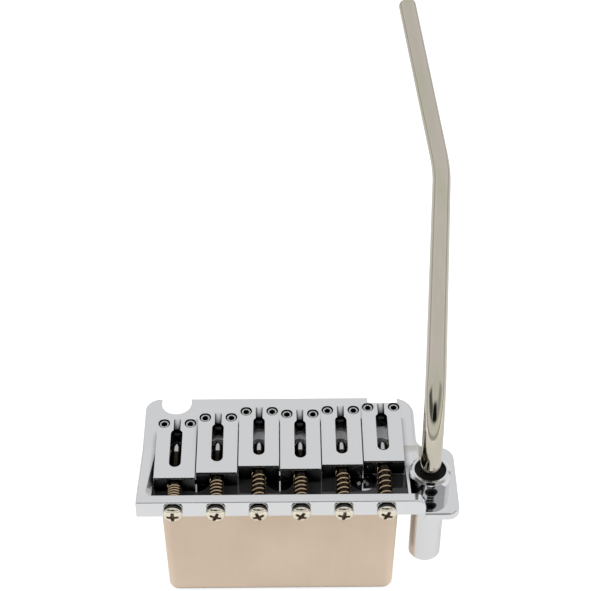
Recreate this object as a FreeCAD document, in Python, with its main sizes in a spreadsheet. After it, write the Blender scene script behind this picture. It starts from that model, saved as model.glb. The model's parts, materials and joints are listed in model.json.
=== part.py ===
"""Six-string guitar tremolo bridge that pivots on two studs.

The frame: X runs across the strings (the arm is on the +X side), Y points from the rear wall
towards the neck and Z is up. The origin is the middle of the pivot line, which joins the bottoms
of the two stud notches on the plate's top face. That face is also the floor of the saddle tray.
"""
import FreeCAD, Part
import math
import os

import Sketcher
from FreeCAD import Placement, Rotation, Vector

# Driving sizes in millimetres and degrees
SIZES = {
    # Strings and pivot
    "string_pitch": 10.8,
    "stud_spacing": 56.0,
    "notch_width": 8.0,
    "knife_bevel": 1.3,
    # Base plate
    "rear_reach": 36.2,
    "front_reach": 6.1,
    "plate_thick": 2.1,
    "rim_round": 0.8,
    "bass_corner": 4.0,
    "treble_corner": 6.0,
    "wall_height": 5.1,
    "wall_thick": 2.5,
    "wall_overhang": 0.6,
    "wall_end_round": 3.0,
    "wall_edge_round": 0.4,
    "wing_width": 3.85,
    "wing_length": 21.5,
    "wing_slope": 1.7,
    "wing_drop": 0.9,
    "side_gap": 0.3,
    "relief_height": 2.05,
    "relief_depth": 3.0,
    "ear_length": 23.6,
    "ear_margin": 2.0,
    "ear_inner_round": 3.0,
    "ear_far_round": 4.0,
    "ear_near_round": 3.0,
    # Saddles
    "saddle_gap": 0.3,
    "saddle_length": 21.3,
    "saddle_height": 4.6,
    "saddle_edge": 0.3,
    "saddle_nose": 0.8,
    "saddle_lift": 0.3,
    "slot_width": 3.05,
    "slot_start": 4.0,
    "slot_length": 13.1,
    "groove_width": 1.8,
    "groove_depth": 0.55,
    "groove_round": 3.6,
    "groove_start": 0.3,
    # Intonation screws and springs
    "screw_axis_height": 2.15,
    "screw_diameter": 2.9,
    "screw_reach": 22.5,
    "screw_tip": 0.6,
    "head_diameter": 4.9,
    "head_height": 2.1,
    "head_rim": 1.1,
    "head_shoulder": 0.45,
    "head_gap": 0.25,
    "wall_hole_play": 0.25,
    "thread_play": 0.05,
    "spring_diameter": 4.1,
    "spring_wire": 0.4,
    "spring_turns": 4.5,
    "spring_entry": 0.5,
    "spring_gap": 0.1,
    # Height screws
    "height_screw_diameter": 3.0,
    "height_screw_spacing": 6.9,
    "height_screw_setback": 2.0,
    "height_screw_recess": 0.3,
    "height_tip_cut": 0.5,
    "height_tip_gap": 0.2,
    "height_hex": 1.5,
    "height_hex_depth": 1.5,
    # Sustain block and its screws
    "block_margin": 3.8,
    "block_taper": 0.65,
    "block_front_margin": 3.7,
    "block_height": 35.1,
    "block_setback": 5.3,
    "block_side_round": 2.6,
    "block_foot_round": 2.4,
    "block_screw_diameter": 4.0,
    "block_screw_head": 7.0,
    "block_screw_sink": 0.1,
    "block_screw_length": 14.0,
    "block_screw_tip": 0.5,
    "block_screw_setback": 11.7,
    "seat_play": 0.03,
    # String bores and the holes for the cavity springs
    "string_setback": 24.6,
    "string_hole": 4.2,
    "string_throat": 2.4,
    "ball_bore": 4.6,
    "ball_bore_depth": 24.0,
    "hook_hole": 3.0,
    "hook_depth": 8.0,
    "hook_setback": 13.0,
    # Arm holder, bush and torque screw
    "holder_web": 0.8,
    "holder_play": 0.1,
    "holder_setback": 10.2,
    "collar_diameter": 10.5,
    "collar_height": 5.7,
    "collar_rim": 0.6,
    "collar_bore": 8.2,
    "collar_floor": 0.6,
    "shank_diameter": 8.4,
    "shank_bore": 6.7,
    "shank_reach": 26.5,
    "shank_base": 2.0,
    "shank_bevel": 1.0,
    "bush_recess": 1.0,
    "bush_play": 0.03,
    "bush_reach": 22.0,
    "torque_diameter": 3.2,
    "torque_height": 2.6,
    "torque_recess": 0.12,
    "torque_edge": 0.2,
    "torque_hex": 1.6,
    "torque_hex_depth": 0.6,
    # Arm
    "arm_diameter": 5.35,
    "arm_play": 0.05,
    "arm_insertion": 20.0,
    "arm_post": 25.9,
    "arm_bend": 15.6,
    "arm_run": 97.1,
    "arm_run_swing": 5.5,
    "arm_run_rise": 1.8,
    "arm_kink": 27.0,
    "arm_end": 62.2,
    "arm_end_swing": -7.6,
    "arm_end_rise": 21.0,
    "arm_tip_round": 1.4,
    # Cross recesses
    "cross_span": 2.7,
    "cross_width": 0.75,
    "cross_depth": 1.1,
    "block_cross_span": 4.0,
    "block_cross_width": 1.0,
}

# One row per string from the bass side: spring length, saddle pitch and turn of the screw's cross
STRINGS = (
    (5.8, 1.0, 0.0),
    (7.45, 2.0, 22.0),
    (9.55, 2.0, 68.0),
    (8.45, 2.2, 30.0),
    (9.8, 1.9, 8.0),
    (10.95, 1.5, 24.0),
)

# How far the three block screws were turned home, in degrees
BLOCK_SCREW_TURNS = (-40.0, 0.0, 40.0)

doc = FreeCAD.newDocument("tremolo_bridge")
sheet = doc.addObject("Spreadsheet::Sheet", "sizes")


def fill_sheet():
    """Write each driving size to its own cell, with its name as the alias."""
    rows = dict(SIZES)
    for number, (length, pitch, turn) in enumerate(STRINGS, 1):
        rows["spring_length_%d" % number] = length
        rows["saddle_pitch_%d" % number] = pitch
        rows["cross_turn_%d" % number] = turn
    for row, (name, size) in enumerate(rows.items(), 1):
        sheet.set("A%d" % row, name)
        sheet.set("B%d" % row, str(size))
        sheet.setAlias("B%d" % row, name)
    doc.recompute()


fill_sheet()

# Sizes that follow from the driving ones, as expressions over the sheet
SADDLE_WIDTH = "(sizes.string_pitch - sizes.saddle_gap)"
TRAY_HALF = "(3 * sizes.string_pitch - sizes.saddle_gap / 2 + sizes.side_gap)"
PLATE_HALF = "(%s + sizes.wing_width)" % TRAY_HALF
HOLDER_X = "(%s + sizes.holder_web + sizes.collar_diameter / 2)" % TRAY_HALF
HOLDER_Y = "(sizes.holder_setback - sizes.rear_reach)"
EAR_X = "(%s + sizes.collar_diameter / 2 + sizes.ear_margin)" % HOLDER_X
WALL_END = "(%s + sizes.wall_overhang)" % PLATE_HALF
WALL_INNER = "(sizes.wall_thick - sizes.rear_reach)"
EAR_FAR = "(sizes.ear_length - sizes.rear_reach)"
HINGE_Y = "(sizes.wall_thick / 2 - sizes.rear_reach)"
HOLE_RISE = "(sizes.screw_axis_height - sizes.saddle_lift)"
SADDLE_TOP = "(sizes.saddle_height - %s)" % HOLE_RISE
BLOCK_HALF = "(2.5 * sizes.string_pitch + sizes.block_margin)"
BLOCK_REAR = "(sizes.block_setback - sizes.rear_reach)"
BLOCK_DEPTH = "(sizes.string_setback - sizes.block_setback + sizes.block_front_margin)"
SCREW_Y = "(sizes.block_screw_setback - sizes.rear_reach)"
STRING_Y = "(sizes.string_setback - sizes.rear_reach)"
BLOCK_BOTTOM = "(-sizes.plate_thick - sizes.block_height)"
HEAD_CONE = "((sizes.block_screw_head - sizes.block_screw_diameter) / 2)"
CUT_MARGIN = 1.0


def value(expression):
    """The number that an expression over the sheet stands for."""
    return float(sheet.evalExpression(expression))


def string_x(number):
    """Expression for the X of a string, counted from the bass side."""
    return "(%.1f * sizes.string_pitch)" % (number - 3.5)


# Sketch and feature helpers

def settled(feature):
    """Recompute and stop at the first feature that failed."""
    doc.recompute()
    if "Invalid" in feature.State or feature.Shape.isNull():
        raise RuntimeError("%s failed" % feature.Name)
    return feature


def new_body(label):
    body = doc.addObject("PartDesign::Body", label)
    body.Label = label
    return body


def sketch_on(body, role, lift="0"):
    """An empty sketch on one of the body's own planes, raised along its normal."""
    plane = next(item for item in body.Origin.OriginFeatures if item.Role == role)
    sketch = body.newObject("Sketcher::SketchObject", body.Name + "_sketch")
    sketch.AttachmentSupport = [(plane, "")]
    sketch.MapMode = "FlatFace"
    sketch.setExpression("AttachmentOffset.Base.z", lift)
    return sketch


def bind_constraint(sketch, constraint, expression):
    index = sketch.addConstraint(constraint)
    sketch.setExpression("Constraints[%d]" % index, expression)


def arc_between(start, end, radius):
    """Arc of a circle from start to end; a negative radius bends it clockwise."""
    chord = end - start
    sagitta_base = math.sqrt(radius * radius - chord.Length ** 2 / 4)
    normal = Vector(-chord.y, chord.x, 0).normalize()
    centre = (start + end) / 2 + normal * math.copysign(sagitta_base, radius)
    circle = Part.Circle(centre, Vector(0, 0, 1), abs(radius))
    first, last = (start, end) if radius > 0 else (end, start)
    return Part.ArcOfCircle(circle, circle.parameter(first), circle.parameter(last))


def closed_profile(sketch, points, arcs=()):
    """A closed outline through points given as expressions.

    arcs maps the number of the point that an arc starts from to the arc's radius expression and
    to its direction, 1 for anticlockwise and -1 for clockwise. Other stretches are straight.
    """
    arcs = dict(arcs)
    places = [Vector(value(x), value(y), 0) for x, y in points]
    starts = []
    ends = []
    for number, place in enumerate(places):
        following = places[(number + 1) % len(places)]
        if number in arcs:
            radius, direction = arcs[number]
            curve = arc_between(place, following, direction * value(radius))
            starts.append(1 if direction > 0 else 2)
        else:
            curve = Part.LineSegment(place, following)
            starts.append(1)
        ends.append(3 - starts[-1])
        sketch.addGeometry(curve, False)
    count = len(places)
    for number in range(count):
        after = (number + 1) % count
        sketch.addConstraint(Sketcher.Constraint(
            "Coincident", number, ends[number], after, starts[after]))
    for number, (x, y) in enumerate(points):
        place = places[number]
        bind_constraint(sketch, Sketcher.Constraint("DistanceX", number, starts[number], place.x), x)
        bind_constraint(sketch, Sketcher.Constraint("DistanceY", number, starts[number], place.y), y)
    for number, (radius, _) in arcs.items():
        bind_constraint(sketch, Sketcher.Constraint("Radius", number, value(radius)), radius)


def pad(body, sketch, length, reverse=False):
    feature = body.newObject("PartDesign::Pad", body.Name + "_pad")
    feature.Profile = sketch
    feature.setExpression("Length", length)
    feature.Reversed = reverse
    return settled(feature)


def pocket(body, sketch, length, reverse=False, midplane=False):
    """Cut a sketch into the body and make sure that it removed something."""
    before = body.Tip.Shape.Volume
    feature = body.newObject("PartDesign::Pocket", body.Name + "_pocket")
    feature.Profile = sketch
    feature.setExpression("Length", length)
    feature.Reversed = reverse
    feature.Midplane = midplane
    if settled(feature).Shape.Volume >= before:
        raise RuntimeError("%s cuts nothing" % feature.Name)
    return feature


def revolve(body, points, arcs=(), role="XZ_Plane"):
    """A solid of revolution about the sketch's vertical axis; points are (radius, height)."""
    sketch = sketch_on(body, role)
    closed_profile(sketch, points, arcs)
    feature = body.newObject("PartDesign::Revolution", body.Name + "_turned")
    feature.Profile = sketch
    feature.ReferenceAxis = (sketch, ["V_Axis"])
    feature.Angle = 360
    return settled(feature)


def primitive(body, kind, sizes, base, turn=None):
    """A PartDesign primitive with its sizes and place bound to the sheet."""
    feature = body.newObject("PartDesign::" + kind, body.Name + "_" + kind)
    if turn:
        feature.Placement = Placement(Vector(), turn)
    for name, expression in sizes.items():
        feature.setExpression(name, expression)
    for axis, expression in zip("xyz", base):
        feature.setExpression("Placement.Base." + axis, expression)
    return settled(feature)


def drill(body, diameter, depth, base, turn=None):
    """A round hole from base along +Z, or along the axis that turn brings +Z to."""
    return primitive(body, "SubtractiveCylinder",
                     {"Radius": "%s / 2" % diameter, "Height": depth}, base, turn)


def edges_through(shape, points):
    """Names of the edges that pass through the given points."""
    names = []
    for point in points:
        vertex = Part.Vertex(Vector(*point))
        names += ["Edge%d" % number for number, edge in enumerate(shape.Edges, 1)
                  if edge.distToShape(vertex)[0] < 1e-4]
    return sorted(set(names))


def dress(body, kind, property_name, edges, size):
    """A fillet or chamfer of the given size on named edges of the body's tip."""
    base = body.Tip
    feature = body.newObject("PartDesign::" + kind, body.Name + "_" + kind)
    feature.Base = (base, edges)
    feature.setExpression(property_name, size)
    return settled(feature)


def round_edges(body, points, radius):
    return dress(body, "Fillet", "Radius", edges_through(body.Tip.Shape, points), radius)


def hexagon(across_flats):
    """Corner expressions of a hexagon with the given width across flats."""
    reach = 1 / math.sqrt(3)
    angles = [math.radians(60 * step) for step in range(6)]
    return [("%.6f * %s" % (reach * math.cos(angle), across_flats),
             "%.6f * %s" % (reach * math.sin(angle), across_flats)) for angle in angles]


def cross(span, width):
    """Corner expressions of a plus-shaped recess."""
    far = "%s / 2" % span
    near = "%s / 2" % width
    quadrant = [(near, far), (near, near), (far, near)]
    corners = []
    for turn in range(4):
        for x, y in quadrant:
            for _ in range(turn):
                x, y = y, "-%s" % x if not x.startswith("-") else x[1:]
            corners.append((x, y))
    return corners


# Base plate

def outer_top_edges(shape):
    """Edges of the plate's upper rim that face outwards, without the rear wall's own."""
    underside = min(shape.Faces, key=lambda face: face.CenterOfMass.z)
    outline = underside.OuterWire
    level = underside.CenterOfMass.z
    rear = -value("sizes.rear_reach")
    names = []
    for number, edge in enumerate(shape.Edges, 1):
        middle = edge.valueAt((edge.FirstParameter + edge.LastParameter) / 2)
        below = Part.Vertex(Vector(middle.x, middle.y, level))
        on_rim = edge.BoundBox.ZMin > -1e-4 and outline.distToShape(below)[0] < 1e-4
        on_wall = middle.y < rear + 1e-4 and middle.z > 1e-4
        upright = edge.BoundBox.XLength < 1e-4 and edge.BoundBox.YLength < 1e-4
        if on_rim and not on_wall and not upright:
            names.append("Edge%d" % number)
    return names


def plate_outline(body):
    """Plate with its ear, its corners still square."""
    sketch = sketch_on(body, "XY_Plane")
    closed_profile(sketch, [
        ("-" + PLATE_HALF, "-sizes.rear_reach"), (EAR_X, "-sizes.rear_reach"),
        (EAR_X, EAR_FAR), (PLATE_HALF, EAR_FAR),
        (PLATE_HALF, "sizes.front_reach"), ("-" + PLATE_HALF, "sizes.front_reach")])
    pad(body, sketch, "sizes.plate_thick", reverse=True)
    half, ear, far = value(PLATE_HALF), value(EAR_X), value(EAR_FAR)
    rear, front = -value("sizes.rear_reach"), value("sizes.front_reach")
    middle = -value("sizes.plate_thick") / 2
    round_edges(body, [(-half, front, middle)], "sizes.bass_corner")
    round_edges(body, [(half, front, middle)], "sizes.treble_corner")
    round_edges(body, [(half, far, middle)], "sizes.ear_inner_round")
    round_edges(body, [(ear, far, middle)], "sizes.ear_far_round")
    round_edges(body, [(ear, rear, middle)], "sizes.ear_near_round")


def plate_rim(body):
    """Rear wall, the two wings that taper down towards the front, and the rounded outer rim."""
    wall = sketch_on(body, "XZ_Plane", "-" + WALL_INNER)
    closed_profile(wall, [
        ("-" + PLATE_HALF, "0"), (WALL_END, "0"), (WALL_END, "sizes.wall_height - sizes.wall_end_round"),
        (WALL_END + " - sizes.wall_end_round", "sizes.wall_height"), ("-" + PLATE_HALF, "sizes.wall_height")],
        {2: ("sizes.wall_end_round", 1)})
    pad(body, wall, "sizes.wall_thick")
    for start in ("-" + PLATE_HALF, TRAY_HALF):
        wing = sketch_on(body, "YZ_Plane", start)
        closed_profile(wing, [
            (WALL_INNER, "0"), ("%s + sizes.wing_length" % WALL_INNER, "0"),
            (WALL_INNER, "sizes.wall_height")])
        pad(body, wing, "sizes.wing_width")
    dress(body, "Fillet", "Radius", outer_top_edges(body.Tip.Shape), "sizes.rim_round")
    rear, top = -value("sizes.rear_reach"), value("sizes.wall_height")
    round_edges(body, [(0, rear, top)], "sizes.wall_edge_round")
    wing_slant(body)


def wing_slant(body):
    """Lean the bass wing's inner edge, so that its ridge runs out at the wing's front end."""
    corner = sketch_on(body, "XZ_Plane", "-" + WALL_INNER)
    foot = "sizes.wall_height - sizes.wing_drop"
    closed_profile(corner, [
        ("-" + TRAY_HALF, foot), ("-" + TRAY_HALF, "sizes.wall_height"),
        ("-%s - sizes.wing_slope" % TRAY_HALF, "sizes.wall_height")])
    before = body.Tip.Shape.Volume
    cut = body.newObject("PartDesign::Pocket", body.Name + "_slant")
    cut.Profile = corner
    cut.setExpression("Length", "sizes.wing_length")
    cut.UseCustomVector = True
    cut.AlongSketchNormal = True
    cut.setExpression("Direction.x", "0")
    cut.setExpression("Direction.y", "sizes.wing_length")
    cut.setExpression("Direction.z", "-(%s)" % foot)
    if settled(cut).Shape.Volume >= before:
        raise RuntimeError("%s cuts nothing" % cut.Name)


def plate_notches(body):
    """Stud notches, bevelled underneath to a knife edge, and the relief under the rear wall."""
    low = "-sizes.plate_thick - %.1f" % CUT_MARGIN
    height = "sizes.plate_thick + %.1f" % (2 * CUT_MARGIN)
    for side in ("-", ""):
        centre = side + "sizes.stud_spacing / 2"
        drill(body, "sizes.notch_width", height, (centre, "sizes.notch_width / 2", low))
        primitive(body, "SubtractiveBox", {
            "Length": "sizes.notch_width", "Width": "sizes.front_reach", "Height": height},
            (centre + " - sizes.notch_width / 2", "sizes.notch_width / 2", low))
    stud, depth = value("sizes.stud_spacing") / 2, -value("sizes.plate_thick")
    knife_edges = edges_through(body.Tip.Shape, [(-stud, 0, depth), (stud, 0, depth)])
    dress(body, "Chamfer", "Size", knife_edges, "sizes.knife_bevel")
    relief = sketch_on(body, "YZ_Plane", "-%s - %.1f" % (PLATE_HALF, CUT_MARGIN))
    closed_profile(relief, [
        ("-sizes.rear_reach", "-sizes.plate_thick"),
        ("-sizes.rear_reach + sizes.relief_depth", "-sizes.plate_thick"),
        ("-sizes.rear_reach", "-sizes.plate_thick + sizes.relief_height")])
    pocket(body, relief, "%s + %s + %.1f" % (PLATE_HALF, WALL_END, CUT_MARGIN), reverse=True)


def plate_holes(body):
    """Holes for strings, intonation screws, block screws and the arm holder."""
    below = "-sizes.plate_thick - %.1f" % CUT_MARGIN
    through = "sizes.plate_thick + %.1f" % (2 * CUT_MARGIN)
    along_y = Rotation(Vector(1, 0, 0), -90)
    for number in range(1, 7):
        drill(body, "sizes.string_hole", through, (string_x(number), STRING_Y, below))
        drill(body, "(sizes.screw_diameter + 2 * sizes.wall_hole_play)",
              "sizes.wall_thick + %.1f" % (2 * CUT_MARGIN),
              (string_x(number), "-sizes.rear_reach - %.1f" % CUT_MARGIN, "sizes.screw_axis_height"),
              along_y)
    for step in (-2, 0, 2):
        place = ("%d * sizes.string_pitch" % step, SCREW_Y)
        drill(body, "(sizes.block_screw_diameter + 2 * sizes.seat_play)", through, place + (below,))
        primitive(body, "SubtractiveCone", {
            "Radius1": "sizes.block_screw_diameter / 2 + sizes.seat_play",
            "Radius2": "sizes.block_screw_head / 2 + sizes.seat_play",
            "Height": HEAD_CONE}, place + ("-sizes.block_screw_sink - " + HEAD_CONE,))
        drill(body, "(sizes.block_screw_head + 2 * sizes.seat_play)",
              "sizes.block_screw_sink + %.1f" % CUT_MARGIN, place + ("-sizes.block_screw_sink",))
    drill(body, "(sizes.shank_diameter + 2 * sizes.seat_play)", through, (HOLDER_X, HOLDER_Y, below))
    room = "sizes.wall_height + %.1f" % CUT_MARGIN
    drill(body, "(sizes.collar_diameter + 2 * sizes.holder_play)", room, (HOLDER_X, HOLDER_Y, "0"))
    primitive(body, "SubtractiveBox", {
        "Length": "sizes.collar_diameter + 2 * sizes.holder_play",
        "Width": "sizes.holder_setback - sizes.wall_thick", "Height": room},
        ("%s - sizes.collar_diameter / 2 - sizes.holder_play" % HOLDER_X, WALL_INNER, "0"))


def make_base_plate():
    body = new_body("base_plate")
    plate_outline(body)
    plate_rim(body)
    plate_notches(body)
    plate_holes(body)
    return body


# Sustain block and the screws that hold it

def make_sustain_block():
    body = new_body("sustain_block")
    sketch = sketch_on(body, "XZ_Plane", "-" + BLOCK_REAR)
    foot = "(%s - sizes.block_taper)" % BLOCK_HALF
    closed_profile(sketch, [
        ("-" + foot, BLOCK_BOTTOM), (foot, BLOCK_BOTTOM),
        (BLOCK_HALF, "-sizes.plate_thick"), ("-" + BLOCK_HALF, "-sizes.plate_thick")])
    pad(body, sketch, BLOCK_DEPTH, reverse=True)
    rear, bottom = value(BLOCK_REAR), value(BLOCK_BOTTOM)
    middle = (value("-sizes.plate_thick") + bottom) / 2
    side = (value(BLOCK_HALF) + value(foot)) / 2
    corners = [(x, y, middle) for x in (-side, side) for y in (rear, rear + value(BLOCK_DEPTH))]
    round_edges(body, corners, "sizes.block_side_round")
    round_edges(body, [(0, rear, bottom)], "sizes.block_foot_round")
    up = "%.1f" % CUT_MARGIN
    for number in range(1, 7):
        drill(body, "sizes.string_throat", "sizes.block_height + %s" % up,
              (string_x(number), STRING_Y, BLOCK_BOTTOM))
        drill(body, "sizes.ball_bore", "sizes.ball_bore_depth", (string_x(number), STRING_Y, BLOCK_BOTTOM))
    for step in range(-2, 3):
        drill(body, "sizes.hook_hole", "sizes.hook_depth",
              ("%d * sizes.string_pitch" % step, "sizes.hook_setback - sizes.rear_reach", BLOCK_BOTTOM))
    for step in (-2, 0, 2):
        drill(body, "(sizes.block_screw_diameter + 2 * sizes.seat_play)",
              "sizes.block_screw_length + %s" % up,
              ("%d * sizes.string_pitch" % step, SCREW_Y, "-sizes.block_screw_length - %s" % up))
    return body


def make_block_screws():
    """Three countersunk screws; the second and third repeat the first."""
    body = new_body("block_screw_bass")
    head = "sizes.block_screw_head / 2"
    shank = "sizes.block_screw_diameter / 2"
    top = "-sizes.block_screw_sink"
    bottom = "-sizes.block_screw_length"
    revolve(body, [
        ("0", bottom), (shank + " - sizes.block_screw_tip", bottom),
        (shank, bottom + " + sizes.block_screw_tip"),
        (shank, "%s - %s" % (top, HEAD_CONE)), (head, top), ("0", top)])
    recess = sketch_on(body, "XY_Plane", top)
    closed_profile(recess, cross("sizes.block_cross_span", "sizes.block_cross_width"))
    pocket(body, recess, "sizes.cross_depth")
    pieces = [body] + [linked_copy(body, "block_screw_" + name) for name in ("middle", "treble")]
    for step, turn, piece in zip((-2, 0, 2), BLOCK_SCREW_TURNS, pieces):
        place = Vector(step * value("sizes.string_pitch"), value(SCREW_Y), 0)
        piece.Placement = Placement(place, Rotation(Vector(0, 0, 1), turn))
    return pieces


def linked_copy(original, label):
    """A further piece of the same make, with a label and a placement of its own."""
    link = doc.addObject("App::Link", label)
    link.Label = label
    link.LinkedObject = original
    link.LinkTransform = False
    return link


# Saddles and what adjusts them. Their own frame has its origin on the screw's axis.

def string_frame(number, along):
    """Placement on a string's pitched screw axis, at a distance from the middle of the wall."""
    turn = Rotation(Vector(1, 0, 0), value("sizes.saddle_pitch_%d" % number))
    hinge = Vector(value(string_x(number)), value(HINGE_Y), value("sizes.screw_axis_height"))
    return Placement(hinge + turn.multVec(Vector(0, along, 0)), turn)


def saddle_place(number):
    """Distance from the middle of the wall to the saddle's near face."""
    return value("sizes.wall_thick / 2 + sizes.spring_length_%d" % number)


def make_saddles():
    body = new_body("saddle_1")
    half = SADDLE_WIDTH + " / 2"
    sketch = sketch_on(body, "XY_Plane", "-" + HOLE_RISE)
    closed_profile(sketch, [
        ("-" + half, "0"), (half, "0"), (half, "sizes.saddle_length"), ("-" + half, "sizes.saddle_length")])
    pad(body, sketch, "sizes.saddle_height")
    length, top = value("sizes.saddle_length"), value(SADDLE_TOP)
    round_edges(body, [(0, length, top)], "sizes.saddle_nose")
    dress(body, "Chamfer", "Size", edges_through(body.Tip.Shape, [(0, 0, top)]), "sizes.saddle_edge")
    saddle_slot(body)
    saddle_groove(body)
    drill(body, "(sizes.screw_diameter + 2 * sizes.thread_play)", "sizes.slot_start + sizes.slot_width / 2",
          ("0", "0", "0"), Rotation(Vector(1, 0, 0), -90))
    for side_sign in ("-", ""):
        drill(body, "(sizes.height_screw_diameter + 2 * sizes.thread_play)",
              "sizes.saddle_height + %.1f" % (2 * CUT_MARGIN),
              (side_sign + "sizes.height_screw_spacing / 2",
               "sizes.saddle_length - sizes.height_screw_setback", "-%s - %.1f" % (HOLE_RISE, CUT_MARGIN)))
    pieces = [body] + [linked_copy(body, "saddle_%d" % number) for number in range(2, 7)]
    for number, piece in enumerate(pieces, 1):
        piece.Placement = string_frame(number, saddle_place(number))
    return pieces


def saddle_slot(body):
    """Round-ended slot right through the saddle, for the string and the screw's tip."""
    low = "-%s - %.1f" % (HOLE_RISE, CUT_MARGIN)
    height = "sizes.saddle_height + %.1f" % (2 * CUT_MARGIN)
    near = "sizes.slot_start + sizes.slot_width / 2"
    far = "sizes.slot_start + sizes.slot_length - sizes.slot_width / 2"
    primitive(body, "SubtractiveBox", {
        "Length": "sizes.slot_width", "Width": "sizes.slot_length - sizes.slot_width", "Height": height},
        ("-sizes.slot_width / 2", near, low))
    for place in (near, far):
        drill(body, "sizes.slot_width", height, ("0", place, low))


def saddle_groove(body):
    """String groove that rounds over from the slot's far wall to the saddle's front edge."""
    wall = "(sizes.slot_start + sizes.slot_length - sizes.groove_start)"
    level = "(%s - sizes.groove_depth)" % SADDLE_TOP
    front = "sizes.saddle_length + %.1f" % CUT_MARGIN
    above = "%s + %.1f" % (SADDLE_TOP, CUT_MARGIN)
    inside = "sizes.slot_start + sizes.slot_length - sizes.slot_width / 2"
    sketch = sketch_on(body, "YZ_Plane")
    closed_profile(sketch, [
        (inside, "%s - sizes.groove_round" % level), (wall, "%s - sizes.groove_round" % level),
        ("%s + sizes.groove_round" % wall, level), (front, level), (front, above), (inside, above)],
        {1: ("sizes.groove_round", -1)})
    pocket(body, sketch, "sizes.groove_width", midplane=True)


def make_intonation_screws():
    """Pan-head screws; the shank turns in the wall's hole and in the saddle's thread."""
    body = new_body("intonation_screw_1")
    seat = "-sizes.wall_thick / 2 - sizes.head_gap"
    outer = "%s - sizes.head_height" % seat
    shank = "sizes.screw_diameter / 2"
    head = "sizes.head_diameter / 2"
    tip = "sizes.screw_reach - sizes.wall_thick / 2"
    flat = "sizes.cross_span / 2"
    revolve(body, [
        ("0", outer), (flat, outer), (head + " - sizes.head_shoulder", outer + " + sizes.head_shoulder"),
        (head, "%s - sizes.head_rim" % seat), (head, seat), (shank, seat),
        (shank, "%s - sizes.screw_tip" % tip), (shank + " - sizes.screw_tip", tip), ("0", tip)],
        role="XY_Plane")
    recess = sketch_on(body, "XZ_Plane", "-(%s)" % outer)
    closed_profile(recess, cross("sizes.cross_span", "sizes.cross_width"))
    pocket(body, recess, "sizes.cross_depth")
    pieces = [body] + [linked_copy(body, "intonation_screw_%d" % number) for number in range(2, 7)]
    for number, piece in enumerate(pieces, 1):
        spin = Rotation(Vector(0, 1, 0), value("sizes.cross_turn_%d" % number))
        piece.Placement = string_frame(number, 0) * Placement(Vector(), spin)
    return pieces


def make_height_screws(number):
    """The two screws that carry a saddle's front end; their tips stand over the tray floor."""
    along = saddle_place(number) + value("sizes.saddle_length - sizes.height_screw_setback")
    frame = string_frame(number, along)
    pitch = math.radians(value("sizes.saddle_pitch_%d" % number))
    radius = "sizes.height_screw_diameter / 2"
    flat = radius + " - sizes.height_tip_cut"
    drop = value(flat) * math.sin(pitch) + value("sizes.height_tip_gap") - frame.Base.z
    bottom = "%.6f" % (drop / math.cos(pitch))
    top = "%s - sizes.height_screw_recess" % SADDLE_TOP
    pieces = []
    for side, name in ((-1, "bass"), (1, "treble")):
        body = new_body("%s_height_screw_%d" % (name, number))
        revolve(body, [
            ("0", bottom), (flat, bottom), (radius, bottom + " + sizes.height_tip_cut"),
            (radius, top), ("0", top)])
        socket = sketch_on(body, "XY_Plane", top)
        closed_profile(socket, hexagon("sizes.height_hex"))
        pocket(body, socket, "sizes.height_hex_depth")
        offset = Vector(side * value("sizes.height_screw_spacing") / 2, 0, 0)
        body.Placement = frame * Placement(offset, Rotation())
        pieces.append(body)
    return pieces


# Springs: one unbroken wire from wall to saddle

class TangentArc:
    """Arc from start to end that leaves start along way."""

    def __init__(self, start, way, end):
        chord = end - start
        across = chord - way * chord.dot(way)
        self.start, self.end = start, end
        self.radius = chord.dot(chord) / (2 * across.Length)
        inward = across.normalize()
        centre = start + inward * self.radius
        half_turn = math.atan2(chord.dot(inward), chord.dot(way))
        self.middle = centre - inward * (self.radius * math.cos(half_turn)) + way * (
            self.radius * math.sin(half_turn))

    def reversed(self):
        self.start, self.end = self.end, self.start
        return self

    def edge(self):
        return Part.Arc(self.start, self.middle, self.end).toShape()


def biarc(start, start_way, end, end_way):
    """Two arcs that leave start along start_way and reach end along end_way."""
    gap = end - start
    ways = start_way + end_way
    spread = 2 * (1 - start_way.dot(end_way))
    reach = (-gap.dot(ways) + math.sqrt(gap.dot(ways) ** 2 + spread * gap.dot(gap))) / spread
    joint = (start + start_way * reach + end - end_way * reach) / 2
    return [TangentArc(start, start_way, joint), TangentArc(end, end_way * -1, joint).reversed()]


def spring_path(length):
    """Edges along a spring's wire, and the tightest radius among them.

    The wire leaves each seat square for one wire diameter and turns over a biarc into the coil,
    whose half turns are biarcs too. The axis is Y and the first seat is at y = 0.
    """
    wire = value("sizes.spring_wire")
    radius = (value("sizes.spring_diameter") - wire) / 2
    turns = value("sizes.spring_turns")
    entry = value("sizes.spring_entry")
    lead = wire + entry
    rise = length - 2 * lead
    sweep = 2 * math.pi * turns
    entry_angle = entry / radius
    steps = int(round(2 * turns))

    def on_coil(angle, height):
        return Vector(radius * math.cos(angle), height, -radius * math.sin(angle))

    def coil_way(angle):
        way = Vector(-math.sin(angle) * radius, rise / sweep, -math.cos(angle) * radius)
        return way.normalize()

    axial = Vector(0, 1, 0)
    nodes = [(on_coil(-entry_angle, wire), axial)]
    for step in range(steps + 1):
        share = step / steps
        nodes.append((on_coil(sweep * share, lead + rise * share), coil_way(sweep * share)))
    nodes.append((on_coil(sweep + entry_angle, length - wire), axial))
    arcs = []
    for (start, start_way), (end, end_way) in zip(nodes, nodes[1:]):
        arcs += biarc(start, start_way, end, end_way)
    first, last = nodes[0][0], nodes[-1][0]
    edges = [Part.makeLine(first - axial * wire, first)]
    edges += [arc.edge() for arc in arcs]
    edges.append(Part.makeLine(last, last + axial * wire))
    return edges, min(arc.radius for arc in arcs)


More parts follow.
